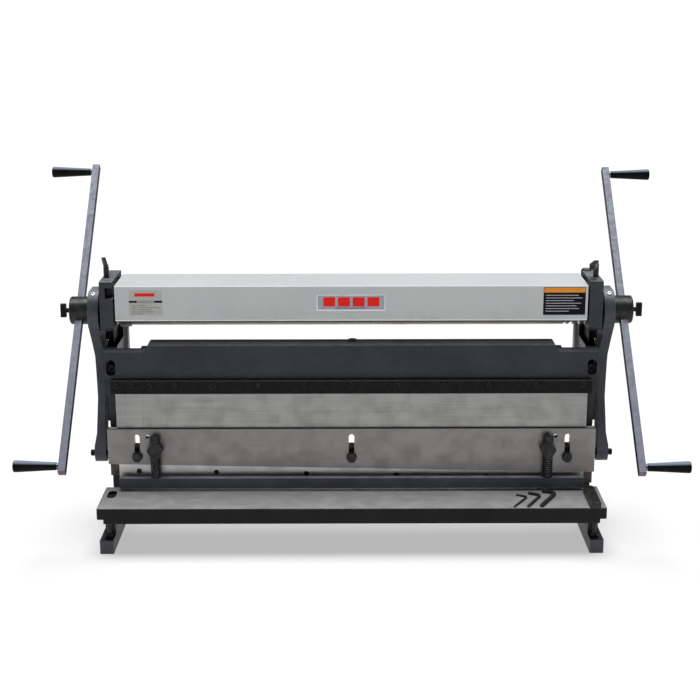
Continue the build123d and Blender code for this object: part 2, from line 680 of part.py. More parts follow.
with BuildPart() as rear_roll_blocks:
    for side in sides.values():
        with BuildSketch(slide_plane(side * 496.5)):
            Rectangle(26, 26)
            Circle(rear_journal_r + running_fit, mode=Mode.SUBTRACT)
        extrude(amount=8.5, both=True)
        add_rod_y(side * 496.5, rear_z, rear_y + 12, rear_y + 54, 4)
save(rear_roll_blocks, "rear_roll_blocks")

for side_name, side in sides.items():
    with BuildPart() as lock_knob:
        with BuildSketch(Plane.XZ.offset(-(rear_y + 30))):
            with Locations((side * 496.5, rear_z)):
                Circle(9.5)
        extrude(amount=-10)
        with BuildSketch(Plane.XZ.offset(-(rear_y + 40))):
            with Locations((side * 496.5, rear_z)):
                Circle(15)
                with PolarLocations(17.5, 6):
                    Circle(4.5, mode=Mode.SUBTRACT)
        extrude(amount=-18)
        add_rod_y(side * 496.5, rear_z, rear_y + 29, rear_y + 54, 4 + running_fit, Mode.SUBTRACT)
    save(lock_knob, f"lock_knob_{side_name}")

# ---------------------------------------------------------------- cover over the rolls
with BuildPart() as roll_cover:
    with BuildSketch(Plane.YZ.offset(-cover_half)):
        with BuildLine():
            FilletPolyline((cover_front + 6, cover_hem), (cover_front, cover_hem),
                           (cover_front, cover_top), (cover_back, cover_top),
                           (cover_back, cover_top - 22), (cover_back - sheet, cover_top - 22),
                           (cover_back - sheet, cover_top - sheet),
                           (cover_front + sheet, cover_top - sheet),
                           (cover_front + sheet, cover_hem + sheet), (cover_front + 6, cover_hem + sheet),
                           radius=(0.9, 1.8, 3, 3, 0, 0, 1, 1, 0.4, 0), close=True)
        make_face()
    extrude(amount=2 * cover_half)
    for side in sides.values():
        add_block((side * cover_half, side * (cover_half - 3)), (hinge_y - 10, cover_back - sheet),
                  (hinge_z - 9, cover_top - sheet))
        add_rod_x(side, cover_half - 4, cover_half + 1, hinge_y, hinge_z, hinge_r + running_fit,
                  Mode.SUBTRACT)
save(roll_cover, "roll_cover")

with BuildPart() as cover_hinge_pins:
    for side in sides.values():
        add_rod_x(side, cover_half - 4, 522, hinge_y, hinge_z, hinge_r)
save(cover_hinge_pins, "cover_hinge_pins")

# ---------------------------------------------------------------- connecting rods
def side_profile_of_rod():
    """Ring round the crank journal, a curved arm, and the eye that comes forward to the ram."""
    with BuildLine() as outline:
        Spline((-33, 468), (-30, 400), (-42, 300), (-60, 215), (pin_y - 18, pin_z + 6))
        Line((pin_y - 18, pin_z + 6), (pin_y + 18, pin_z + 6))
        Spline((pin_y + 18, pin_z + 6), (-14, 230), (12, 310), (34, 400), (48, 460))
        Line((48, 460), (-33, 468))
    make_face(outline.edges())
    with Locations((crank_y, crank_z)):
        Circle(ring_r)
    with Locations((pin_y, pin_z)):
        Circle(19)
    with Locations((crank_y, crank_z)):
        Circle(19, mode=Mode.SUBTRACT)
    with Locations((pin_y, pin_z)):
        Circle(pin_r, mode=Mode.SUBTRACT)


for side_name, side in sides.items():
    with BuildPart() as connecting_rod:
        with BuildSketch(Plane.YZ.offset(side * 555)):
            side_profile_of_rod()
        extrude(amount=30, both=True)
        with BuildSketch(Plane.XZ.offset(100)):
            with BuildLine():
                FilletPolyline((side * rod_outer, crank_z + ring_r), (side * rod_outer, 455),
                               (side * 556, 392), (side * 552, 300), (side * 555, 225),
                               (side * 561, 195), (side * 561, 150), (side * 536.5, 150),
                               (side * 536.5, 408), (side * rod_inner, 432),
                               (side * rod_inner, crank_z + ring_r),
                               radius=(9, 40, 60, 60, 30, 12, 0, 0, 20, 20, 7), close=True)
            make_face()
        extrude(amount=-200, mode=Mode.INTERSECT)
    save(connecting_rod, f"connecting_rod_{side_name}")

    with BuildPart() as big_end_bush:
        add_rod_x(side, rod_inner, rod_outer, crank_y, crank_z, 19)
        add_rod_x(side, rod_inner - 1, rod_outer + 1, crank_y, crank_z, journal_r + running_fit,
                  Mode.SUBTRACT)
    save(big_end_bush, f"big_end_bush_{side_name}")

    with BuildPart() as rod_pin:
        add_rod_x(side, 515.5, 572, pin_y, pin_z, pin_r)
        chamfer(rod_pin.edges().filter_by(GeomType.CIRCLE), 1)
    save(rod_pin, f"rod_pin_{side_name}")

# ---------------------------------------------------------------- cranks
grip_reach = bar_half - 17
for side_name, side in sides.items():
    lean = radians(bar_angle[side_name])
    bar_plane = Plane(origin=(side * bar_x, crank_y, crank_z), x_dir=(1, 0, 0),
                      z_dir=(0, cos(lean), sin(lean)))
    ends = {"top": bar_shift[side_name] + grip_reach, "bottom": bar_shift[side_name] - grip_reach}
    end_spots = {
        end: (crank_y + reach * cos(lean), crank_z + reach * sin(lean)) for end, reach in ends.items()
    }

    with BuildPart() as crank_hub:
        add_rod_x(side, hub_inner, hub_outer, crank_y, crank_z, hub_r)
        chamfer(crank_hub.edges().filter_by(GeomType.CIRCLE).sort_by(Axis.X)[0 if side < 0 else -1], 2.5)
        add_rod_x(side, hub_inner, journal_end, crank_y, crank_z, journal_r, Mode.SUBTRACT)
        add_rod_x(side, hub_inner, hub_outer, crank_y, crank_z, 5.05, Mode.SUBTRACT)
        add_rod_x(side, hub_outer - 8, hub_outer, crank_y, crank_z + 20, 4, Mode.SUBTRACT)
        with BuildSketch(bar_plane):
            Rectangle(bar_side, bar_side)
        extrude(amount=40, both=True, mode=Mode.SUBTRACT)
    save(crank_hub, f"crank_hub_{side_name}")

    with BuildPart() as crank_bar:
        with BuildSketch(bar_plane.offset(bar_shift[side_name])):
            Rectangle(bar_side, bar_side)
        extrude(amount=bar_half, both=True)
        chamfer(crank_bar.edges(), 0.8)
        for spot in end_spots.values():
            add_rod_x(side, bar_x - 4, bar_x + 9, *spot, 5, Mode.SUBTRACT)
    save(crank_bar, f"crank_bar_{side_name}")

    with BuildPart() as clamp_screw:
        add_rod_x(side, bar_x + bar_side / 2 + 0.4, 622, crank_y, crank_z, 5)
        add_block((side * 621, side * 633), (crank_y - 6, crank_y + 6), (crank_z - 15, crank_z + 15))
        fillet(clamp_screw.edges().filter_by(Axis.X), 3)
    save(clamp_screw, f"crank_clamp_screw_{side_name}")

    for end, spot in end_spots.items():
        with BuildPart() as grip:
            with BuildSketch(Plane(origin=(0, *spot), x_dir=(side, 0, 0), z_dir=(0, -side, 0))):
                with BuildLine():
                    Polyline((grip_inner + grip_bore, 0), (grip_inner + grip_bore, 5 + running_fit),
                             (grip_inner, 5 + running_fit), (grip_inner, 7.6), (grip_inner + 1.2, 8.4))
                    Spline((grip_inner + 1.2, 8.4), (grip_inner + 30, 9.6), (grip_inner + 62, 11.3),
                           (grip_outer - 3, 12.4))
                    Polyline((grip_outer - 3, 12.4), (grip_outer - 0.8, 11.6), (grip_outer, 9.8),
                             (grip_outer, 0), (grip_inner + grip_bore, 0))
                make_face()
            revolve(axis=Axis((0, *spot), (1, 0, 0)))
        save(grip, f"grip_{end}_{side_name}")

with BuildPart() as grip_spindles:
    for side_name, side in sides.items():
        lean = radians(bar_angle[side_name])
        for sign in (1, -1):
            reach = bar_shift[side_name] + sign * grip_reach
            spot = (crank_y + reach * cos(lean), crank_z + reach * sin(lean))
            add_rod_x(side, bar_x - 4, grip_inner + grip_bore - 2, *spot, 5)
            add_rod_x(side, bar_x + bar_side / 2, grip_inner - 0.5, *spot, 7)
save(grip_spindles, "grip_spindles")

with BuildPart() as hub_set_screws:
    for side in sides.values():
        add_rod_x(side, hub_outer - 8, hub_outer + 2, crank_y, crank_z + 20, 4)
save(hub_set_screws, "hub_set_screws")
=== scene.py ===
"""Looks of the three-in-one shear, press brake and slip roll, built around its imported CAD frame.

Metres, in the CAD's own frame: X to the operator's right, Y to the back, Z up from the bench.
"""

import json
from math import cos, pi, radians, sin, tau

import bmesh
import bpy
from mathutils import Matrix, Vector


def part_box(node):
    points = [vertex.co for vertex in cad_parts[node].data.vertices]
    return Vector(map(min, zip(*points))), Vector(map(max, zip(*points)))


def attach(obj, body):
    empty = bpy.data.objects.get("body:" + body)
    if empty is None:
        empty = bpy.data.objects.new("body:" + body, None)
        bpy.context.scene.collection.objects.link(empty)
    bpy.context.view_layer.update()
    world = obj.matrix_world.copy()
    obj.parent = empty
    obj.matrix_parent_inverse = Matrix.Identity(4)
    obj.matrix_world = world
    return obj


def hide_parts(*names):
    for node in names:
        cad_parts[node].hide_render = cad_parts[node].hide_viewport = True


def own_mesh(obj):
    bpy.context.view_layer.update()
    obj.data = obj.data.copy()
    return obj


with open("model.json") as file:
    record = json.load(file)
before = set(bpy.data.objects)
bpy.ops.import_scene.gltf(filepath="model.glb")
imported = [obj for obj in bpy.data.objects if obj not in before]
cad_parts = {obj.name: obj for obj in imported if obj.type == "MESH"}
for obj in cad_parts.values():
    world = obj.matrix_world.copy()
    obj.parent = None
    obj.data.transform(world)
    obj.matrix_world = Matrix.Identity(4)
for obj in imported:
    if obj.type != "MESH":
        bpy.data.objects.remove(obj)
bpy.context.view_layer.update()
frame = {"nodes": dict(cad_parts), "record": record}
record = frame["record"]
body_of_node = {node: body for body, nodes in record["behaviour"]["bodies"].items() for node in nodes}
slot_of_node = {part["node"]: part["material_slot"] for part in record["subparts"]}

# the rings of the connecting rods and the crank bars centre on the crank pins
crank_pin_y, crank_pin_z = 0.010, 0.484


# ---------------------------------------------------------------- material building blocks
class Shader:
    """One procedural material, laid out on object coordinates in metres."""

    def __init__(self, name):
        self.material = bpy.data.materials.new(name)
        self.material.use_nodes = True
        self.tree = self.material.node_tree
        self.surface = self.tree.nodes["Principled BSDF"]
        self.place = self.add("ShaderNodeTexCoord").outputs["Object"]

    def add(self, kind, **settings):
        node = self.tree.nodes.new(kind)
        for key, value in settings.items():
            setattr(node, key, value)
        return node

    def feed(self, socket, value):
        """Link an output to a socket, or set the socket when the value is a plain one."""
        if isinstance(value, bpy.types.NodeSocket):
            self.tree.links.new(value, socket)
        elif hasattr(value, "__len__") and len(value) == 3 and socket.type == "RGBA":
            socket.default_value = (*value, 1)
        else:
            socket.default_value = value

    def set(self, **inputs):
        """Feed the shader's own sockets, named with underscores for spaces."""
        for key, value in inputs.items():
            self.feed(self.surface.inputs[key.replace("_", " ")], value)

    def stretched(self, place, scale):
        mapping = self.add("ShaderNodeMapping")
        self.feed(mapping.inputs["Vector"], place)
        mapping.inputs["Scale"].default_value = scale
        return mapping.outputs["Vector"]

    def noise(self, scale, detail=3.0, roughness=0.55, stretch=None, place=None):
        texture = self.add("ShaderNodeTexNoise")
        place = place or self.place
        self.feed(texture.inputs["Vector"], self.stretched(place, stretch) if stretch else place)
        texture.inputs["Scale"].default_value = scale
        texture.inputs["Detail"].default_value = detail
        texture.inputs["Roughness"].default_value = roughness
        return texture.outputs["Fac"]

    def ramp(self, value, low, high, low_out=0.0, high_out=1.0):
        """Smoothly map low..high of a value onto low_out..high_out."""
        node = self.add("ShaderNodeMapRange", interpolation_type="SMOOTHSTEP")
        for socket, number in zip(node.inputs, (value, low, high, low_out, high_out)):
            self.feed(socket, number)
        return node.outputs["Result"]

    def past(self, value, level, blend=0.001):
        """1 where a value is over a level and 0 where it is under it, blended over a short stretch."""
        return self.ramp(value, level - blend / 2, level + blend / 2)

    def short_of(self, value, level, blend=0.001):
        """1 where a value is under a level and 0 where it is over it, blended over a short stretch."""
        return self.ramp(value, level + blend / 2, level - blend / 2)

    def math(self, operation, first, second=0.0):
        node = self.add("ShaderNodeMath", operation=operation)
        self.feed(node.inputs[0], first)
        self.feed(node.inputs[1], second)
        return node.outputs[0]

    def mix(self, factor, first, second):
        node = self.add("ShaderNodeMix", data_type="RGBA")
        self.feed(node.inputs[0], factor)
        self.feed(node.inputs[6], first)
        self.feed(node.inputs[7], second)
        return node.outputs[2]

    def split(self, vector):
        node = self.add("ShaderNodeSeparateXYZ")
        self.feed(node.inputs[0], vector)
        return node.outputs

    def facing(self):
        """The surface normal in the piece's own axes."""
        return self.split(self.add("ShaderNodeTexCoord").outputs["Normal"])

    def edges(self, radius=0.0016):
        """1 along convex and concave edges, 0 on flat ground."""
        rounded = self.add("ShaderNodeBevel", samples=4)
        rounded.inputs["Radius"].default_value = radius
        true = self.add("ShaderNodeNewGeometry").outputs["Normal"]
        both = self.add("ShaderNodeVectorMath", operation="DOT_PRODUCT")
        self.feed(both.inputs[0], rounded.outputs["Normal"])
        self.feed(both.inputs[1], true)
        return self.ramp(both.outputs["Value"], 0.995, 0.86)

    def bump(self, height, strength, distance=0.001, under=None):
        node = self.add("ShaderNodeBump")
        node.inputs["Strength"].default_value = strength
        node.inputs["Distance"].default_value = distance
        self.feed(node.inputs["Height"], height)
        if under:
            self.feed(node.inputs["Normal"], under)
        return node.outputs["Normal"]


def cast_paint(name, dark, light, shine, top_dust_and_light, zones=None):
    """Enamel over a sand casting: pebbled, uneven, rubbed lighter on its edges, and dusty and painted lighter
    on top as if lit from above.

    zones gives two masks for one casting: where shade is painted on it in near black, and where light is
    painted on it in a paler bluish grey.
    """
    s = Shader(name)
    patches = s.ramp(s.noise(9, 4), 0.35, 0.7)
    grit = s.noise(420, 2, 0.6)
    colour = s.mix(patches, dark, light)
    colour = s.mix(s.math("MULTIPLY", s.ramp(grit, 0.55, 0.75), 0.25), colour, [2.0 * c for c in light])
    rubbed_and_painted_light = s.math("MULTIPLY", s.edges(), s.ramp(s.noise(60, 3), 0.35, 0.6, 0.25, 0.8))
    colour = s.mix(rubbed_and_painted_light, colour, [min(1, 2.6 * c) for c in light])
    # dust and painted light: upward faces go paler and bluish in patches, partly dust and partly light
    # painted on the tops
    upward = s.ramp(s.facing()["Z"], 0.5, 1.0, 0.0, top_dust_and_light)
    dust_and_top_light = s.math("MULTIPLY", upward, s.ramp(s.noise(35, 4), 0.2, 0.8, 0.35, 1.0))
    colour = s.mix(dust_and_top_light, colour, (0.23, 0.237, 0.26))
    specular = 0.35
    if zones:
        painted_shade, wear_and_painted_light = zones(s)
        # the zones paint shade in near black, with less shine, and paint light in a pale bluish grey
        colour = s.mix(wear_and_painted_light, s.mix(painted_shade, colour, (0.003, 0.003, 0.0035)), (0.20, 0.212, 0.25))
        specular = s.ramp(painted_shade, 0.0, 1.0, specular, 0.04)
    normal = s.bump(grit, 0.22, 0.0006)
    normal = s.bump(s.noise(55, 4), 0.25, 0.0012, under=normal)
    s.set(Base_Color=colour, Specular_IOR_Level=specular, Normal=normal,
          Roughness=s.ramp(s.noise(140, 3), 0.3, 0.7, shine - 0.06, shine + 0.12))
    return s.material


def neck_zones(s):
    """Masks of the shade painted on the frames' recess under the roll brackets and on the outer facet of the
    right lobe, and of the light painted on their other lobe faces, with a lighter band along their feet.
    """
    recess_floor, recess_back, recess_inner = 0.4135, 0.056, 0.5025
    lobe_floor, lobe_front, lobe_outer = 0.37, 0.057, 0.522
    shaded_facet_inner, foot_top, foot_lightening = 0.5115, 0.030, 0.22
    place = s.split(s.place)
    aside = s.math("ABSOLUTE", place["X"])
    # painted shade: the recess under each bracket goes near black
    over_floor = s.past(place["Z"], recess_floor, 0.002)
    in_recess = s.math("MULTIPLY", over_floor, s.short_of(place["Y"], recess_back))
    behind = s.math("MULTIPLY", s.past(place["Z"], lobe_floor, 0.02), s.past(place["Y"], lobe_front))
    on_lobe = s.math("MULTIPLY", behind, s.short_of(aside, lobe_outer))
    # shade is painted only on the outer facet of the right lobe
    shaded_facet = s.math("MULTIPLY", on_lobe, s.past(place["X"], shaded_facet_inner))
    painted_shade = s.math("MAXIMUM", shaded_facet, s.math("MULTIPLY", in_recess, s.past(aside, recess_inner, 0.005)))
    unshaded_lobe = s.math("SUBTRACT", on_lobe, shaded_facet)
    # painted light: the rest of each lobe is made paler in patches as if lit
    rubbed_and_painted_light = s.math("MULTIPLY", unshaded_lobe, s.ramp(s.noise(45, 4), 0.2, 0.8, 0.55, 0.75))
    # the bottom 30 mm of the frames is made lighter
    feet = s.math("MULTIPLY", s.short_of(place["Z"], foot_top, 0.002), foot_lightening)
    return painted_shade, s.math("MAXIMUM", feet, rubbed_and_painted_light)


def bracket_zones(s):
    """Mask of the shade painted on the inboard faces of the roll brackets; no light is painted on them."""
    reach = 0.01  # the mask changes sign within this distance of the middle of the machine
    inward = s.ramp(s.split(s.place)["X"], -reach, reach, 1.0, -1.0)
    inboard = s.math("MULTIPLY", s.facing()["X"], inward)
    return s.ramp(inboard, 0.5, 0.8), 0.0


def grind(s, tint, contrast=1.0, metal=0.9, streak=1.0):
    """Colour, roughness and normal of ground steel whose fine lines run along X."""
    lines = s.noise(6, 5, 0.7, stretch=(1.2, 260, 260))
    bands = s.noise(3, 3, 0.6, stretch=(0.8, 34, 34))
    stains = s.noise(7, 5, 0.62)
    light = [c * (1 + 0.16 * contrast) for c in tint]
    dark = [c * (1 - 0.22 * contrast) for c in tint]
    colour = s.mix(s.ramp(lines, 0.3, 0.7), dark, light)
    colour = s.mix(s.ramp(bands, 0.4, 0.75, 0.0, 0.5 * streak), colour, dark)
    speckle = s.noise(900, 3, 0.7)
    colour = s.mix(s.ramp(speckle, 0.45, 0.7, 0.0, 0.35), colour, light)
    oily = [c * part for c, part in zip(tint, (0.72, 0.68, 0.62))]
    colour = s.mix(s.ramp(stains, 0.55, 0.8, 0.0, 0.45), colour, oily)
    colour = s.mix(s.math("MULTIPLY", s.edges(0.001), 0.6), colour, [min(1, c * 1.5) for c in tint])
    rough = s.ramp(s.noise(30, 4), 0.3, 0.75, 0.34, 0.52)
    normal = s.bump(lines, 0.12, 0.0004)
    s.set(Metallic=metal)
    return colour, rough, normal


def ground_steel(name, tint, contrast=1.0, metal=0.9, streak=1.0):
    s = Shader(name)
    colour, rough, normal = grind(s, tint, contrast, metal, streak)
    s.set(Base_Color=colour, Roughness=rough, Normal=normal)
    return s.material


def table_finish():
    """Ground on top, dark enamel with a few dings on the sides and below."""
    s = Shader("table_finish")
    steel, steel_rough, steel_normal = grind(s, (0.45, 0.45, 0.455))
    upward = s.facing()["Z"]
    on_top = s.ramp(upward, 0.8, 0.95)
    paint = s.mix(s.ramp(s.noise(12, 4), 0.3, 0.75), (0.007, 0.007, 0.0075), (0.013, 0.013, 0.014))
    chipped = s.math("MULTIPLY", s.edges(0.0014), s.ramp(s.noise(90, 3), 0.45, 0.6))
    paint = s.mix(chipped, paint, (0.3, 0.29, 0.28))
    s.set(Base_Color=s.mix(on_top, paint, steel), Metallic=s.ramp(upward, 0.8, 0.95, 0.0, 0.5),
          Specular_IOR_Level=0.14)
    grit = s.ramp(s.noise(300, 2), 0.3, 0.7, 0.38, 0.5)
    rough = s.add("ShaderNodeMix", data_type="FLOAT")
    for socket, value in zip(rough.inputs[:1] + rough.inputs[2:4], (on_top, grit, steel_rough)):
        s.feed(socket, value)
    s.set(Roughness=rough.outputs[0], Normal=s.bump(s.noise(240, 3), 0.06, 0.0006, under=steel_normal))
    return s.material


def black_oxide(name, tone=0.022, shine=0.38):
    """Blackened screw steel, worn bright along its corners."""
    s = Shader(name)
    colour = s.mix(s.ramp(s.noise(70, 4), 0.35, 0.7), (tone, tone, tone * 1.1), [tone * 2.1] * 3)
    colour = s.mix(s.math("MULTIPLY", s.edges(0.0007), 0.7), colour, (0.24, 0.24, 0.25))
    normal = s.bump(s.noise(500, 2), 0.12, 0.0003)
    s.set(Base_Color=colour, Metallic=0.4, Specular_IOR_Level=0.25, Normal=normal,
          Roughness=s.ramp(s.noise(160, 3), 0.3, 0.7, shine, shine + 0.16))
    return s.material


def plated(name, tint=(0.55, 0.56, 0.57), spread=0.12):
    """Thin metal plating, dulled and browned in patches."""
    smooth = 0.22
    s = Shader(name)
    colour = s.mix(s.ramp(s.noise(90, 4), 0.35, 0.7), [c * 0.7 for c in tint], tint)
    colour = s.mix(s.ramp(s.noise(24, 4), 0.6, 0.8, 0, 0.4), colour, (0.28, 0.25, 0.2))
    s.set(Base_Color=colour, Metallic=0.95, Normal=s.bump(s.noise(600, 2), 0.08, 0.0003),
          Roughness=s.ramp(s.noise(200, 3), 0.3, 0.7, smooth, smooth + spread))
    return s.material


def turned_steel(name, tint):
    """Lathe-turned bar: rings round X, an oil film, faint stains, and blackened cranks at its ends."""
    crank_start = 0.538  # distance from the middle of the machine
    s = Shader(name)
    rings = s.noise(5, 4, 0.7, stretch=(420, 1, 1))
    stains = s.noise(14, 5, 0.6, stretch=(1, 2, 2))
    colour = s.mix(s.ramp(rings, 0.3, 0.7), [c * 0.75 for c in tint], [c * 1.15 for c in tint])
    oily = [c * part for c, part in zip(tint, (0.6, 0.5, 0.42))]
    colour = s.mix(s.ramp(stains, 0.5, 0.8, 0.0, 0.6), colour, oily)
    colour = s.mix(s.math("MULTIPLY", s.edges(0.0008), 0.5), colour, (0.7, 0.69, 0.67))
    crank = s.past(s.math("ABSOLUTE", s.split(s.place)["X"]), crank_start)
    colour = s.mix(crank, colour, (0.02, 0.02, 0.022))
    s.set(Base_Color=colour, Metallic=0.9, Roughness=s.ramp(stains, 0.3, 0.8, 0.3, 0.45),
          Normal=s.bump(rings, 0.1, 0.0003))
    return s.material


def bare_iron():
    """Uncoated casting, browned by old oil."""
    s = Shader("bare_iron")
    colour = s.mix(s.ramp(s.noise(18, 5, 0.65), 0.3, 0.7), (0.05, 0.042, 0.036), (0.17, 0.145, 0.12))
    colour = s.mix(s.ramp(s.noise(70, 4), 0.6, 0.75, 0, 0.6), colour, (0.22, 0.12, 0.06))
    colour = s.mix(s.math("MULTIPLY", s.edges(), 0.5), colour, (0.36, 0.34, 0.31))
    normal = s.bump(s.noise(260, 3), 0.3, 0.0008)
    s.set(Base_Color=colour, Metallic=0.4, Normal=normal,
          Roughness=s.ramp(s.noise(50, 3), 0.3, 0.7, 0.45, 0.65))
    return s.material


def powder_coat():
    """Light grey powder coat: orange peel, faint rubbing, a little grime low down, and highlights painted
    along its edges and on its hem.
    """
    grime_top, grime_foot, hem_highlight_top = 0.515, 0.475, 0.476
    s = Shader("powder_coat")
    colour = s.mix(s.ramp(s.noise(5, 4), 0.3, 0.7), (0.58, 0.60, 0.605), (0.63, 0.65, 0.655))
    height = s.split(s.place)["Z"]
    low_down = s.ramp(height, grime_top, grime_foot)
    grime = s.math("MULTIPLY", low_down, s.ramp(s.noise(22, 5), 0.4, 0.8, 0.0, 0.35))
    colour = s.mix(grime, colour, (0.42, 0.42, 0.40))
    scuffs = s.ramp(s.noise(8, 6, 0.75, stretch=(3, 40, 40)), 0.66, 0.74, 0.0, 0.25)
    colour = s.mix(scuffs, colour, (0.72, 0.73, 0.73))
    # painted highlight along the edges
    colour = s.mix(s.math("MULTIPLY", s.edges(0.002), 0.7), colour, (0.88, 0.89, 0.90))
    # painted highlight: the hem is near white
    colour = s.mix(s.short_of(height, hem_highlight_top, 0.0016), colour, (0.93, 0.94, 0.95))
    normal = s.bump(s.noise(900, 2, 0.5), 0.10, 0.0003)
    normal = s.bump(s.noise(6, 2), 0.12, 0.002, under=normal)
    s.set(Base_Color=colour, Roughness=s.ramp(s.noise(60, 3), 0.3, 0.7, 0.34, 0.44), Normal=normal)
    return s.material


def bar_enamel(centre_x, lean, shift):
    """Lavender-grey enamel with lengthwise draw marks, shade painted near black on its inboard face, and raw
    saw-cut ends.

    lean is the bar's angle over the horizontal. shift is how far its middle lies from the crank pin.
    """
    saw_cut = 0.39715  # distance from the middle of the bar at which its raw end starts
    s = Shader(f"bar_enamel_{'left' if centre_x < 0 else 'right'}")
    along_bar = s.add("ShaderNodeMapping", vector_type="TEXTURE")
    s.feed(along_bar.inputs["Vector"], s.place)
    middle = (centre_x, crank_pin_y + shift * cos(lean), crank_pin_z + shift * sin(lean))
    along_bar.inputs["Location"].default_value = middle
    along_bar.inputs["Rotation"].default_value = (lean - pi / 2, 0, 0)
    place = along_bar.outputs["Vector"]
    streaks = s.noise(2, 4, 0.5, stretch=(240, 240, 3), place=place)
    colour = s.mix(s.ramp(streaks, 0.3, 0.7), (0.088, 0.097, 0.128), (0.116, 0.126, 0.165))
    colour = s.mix(s.ramp(s.noise(26, 5), 0.5, 0.8, 0, 0.35), colour, (0.10, 0.10, 0.12))
    # painted shade: the face turned to the middle of the machine goes near black, with less shine and no
    # metal
    inward = s.ramp(s.math("MULTIPLY", s.facing()["X"], -1 if centre_x > 0 else 1), 0.55, 0.8)
    colour = s.mix(inward, colour, (0.004, 0.005, 0.005))
    wear_and_painted_light = s.math("MULTIPLY", s.edges(0.0012), s.ramp(s.noise(80, 4), 0.35, 0.6, 0.2, 0.9))
    colour = s.mix(wear_and_painted_light, colour, (0.19, 0.19, 0.22))
    raw = s.past(s.math("ABSOLUTE", s.split(place)["Z"]), saw_cut, 0.0005)
    rust = s.mix(s.ramp(s.noise(150, 5), 0.35, 0.7), (0.07, 0.035, 0.03), (0.17, 0.10, 0.085))
    colour = s.mix(raw, colour, rust)
    s.set(Base_Color=colour, Metallic=s.ramp(inward, 0.0, 1.0, 0.25, 0.0),
          Specular_IOR_Level=s.ramp(inward, 0.0, 1.0, 0.5, 0.04),
          Roughness=s.ramp(s.noise(90, 3), 0.3, 0.7, 0.36, 0.52),
          Normal=s.bump(streaks, 0.16, 0.0004))
    return s.material


def moulded_plastic(name, tone=0.006, shine=0.16):
    """Glossy black moulding: faint flow, fine scratches and a bluish highlight painted on its upward faces.
    """
    s = Shader(name)
    colour = s.mix(s.ramp(s.noise(40, 4), 0.3, 0.7), [tone * 0.7] * 3, [tone * 1.6] * 3)
    scratches = s.ramp(s.noise(10, 6, 0.8, stretch=(8, 90, 90)), 0.66, 0.72)
    colour = s.mix(s.math("MULTIPLY", scratches, 0.35), colour, (0.04, 0.04, 0.04))
    # painted highlight on the upward faces
    painted_top_highlight = s.ramp(s.facing()["Z"], 0.5, 0.9)
    colour = s.mix(painted_top_highlight, colour, (0.19, 0.22, 0.30))
    rough = s.ramp(s.noise(110, 4), 0.3, 0.75, shine + 0.16, shine + 0.3)
    s.set(Base_Color=colour, Roughness=rough, Specular_IOR_Level=0.06,
          Normal=s.bump(s.noise(50, 3), 0.05, 0.0006))
    return s.material


def bearing_bronze():
    """Bushing bronze, darkened by oil in patches."""
    s = Shader("bearing_bronze")
    colour = s.mix(s.ramp(s.noise(60, 5), 0.3, 0.7), (0.36, 0.22, 0.09), (0.55, 0.38, 0.17))
    colour = s.mix(s.ramp(s.noise(25, 4), 0.55, 0.75, 0, 0.5), colour, (0.12, 0.09, 0.06))
    s.set(Base_Color=colour, Metallic=0.95, Roughness=s.ramp(s.noise(120, 3), 0.3, 0.7, 0.3, 0.45),
          Normal=s.bump(s.noise(400, 2), 0.1, 0.0004))
    return s.material


def print_ink(name, colour, shine=0.4):
    """Printed or enamelled label ground, slightly faded in patches."""
    s = Shader(name)
    faded = [c * 0.9 + 0.002 for c in colour]
    tone = s.mix(s.ramp(s.noise(60, 4), 0.35, 0.7), colour, faded)
    tone = s.mix(s.ramp(s.noise(400, 3), 0.62, 0.75, 0, 0.3), tone, [c * 0.7 for c in colour])
    s.set(Base_Color=tone, Specular_IOR_Level=0.08,
          Roughness=s.ramp(s.noise(160, 3), 0.3, 0.7, shine, shine + 0.15),
          Normal=s.bump(s.noise(300, 2), 0.05, 0.0003))
    return s.material


frame_paint = cast_paint("frame_paint", (0.018, 0.020, 0.025), (0.029, 0.032, 0.039),
                         shine=0.42, top_dust_and_light=0.22, zones=neck_zones)
rod_paint = cast_paint("rod_paint", (0.044, 0.048, 0.060), (0.072, 0.079, 0.098),
                       shine=0.38, top_dust_and_light=1.0)
bracket_paint = cast_paint("bracket_paint", (0.022, 0.024, 0.029), (0.035, 0.038, 0.046),
                           shine=0.4, top_dust_and_light=1.0, zones=bracket_zones)
die_steel = ground_steel("die_steel", (0.235, 0.225, 0.22), contrast=0.55, metal=0.8, streak=0.25)
punch_steel = ground_steel("punch_steel", (0.315, 0.313, 0.308))
blade_steel = ground_steel("blade_steel", (0.68, 0.675, 0.665), contrast=0.7)
gear_steel = ground_steel("gear_steel", (0.36, 0.35, 0.33))
dark_steel = black_oxide("black_oxide")
clamp_black = black_oxide("clamp_black", tone=0.0045, shine=0.46)
zinc = plated("zinc")
dark_plate = plated("dark_plate", (0.16, 0.16, 0.165), spread=0.2)
roll_steel = turned_steel("roll_steel", (0.42, 0.39, 0.36))
hub_steel = black_oxide("hub_steel", tone=0.02, shine=0.30)
grip_plastic = moulded_plastic("grip_plastic")
knob_plastic = moulded_plastic("knob_plastic", tone=0.015, shine=0.3)
cover_coat = powder_coat()
bronze = bearing_bronze()
spring_steel = plated("spring_steel", (0.11, 0.11, 0.115), spread=0.2)

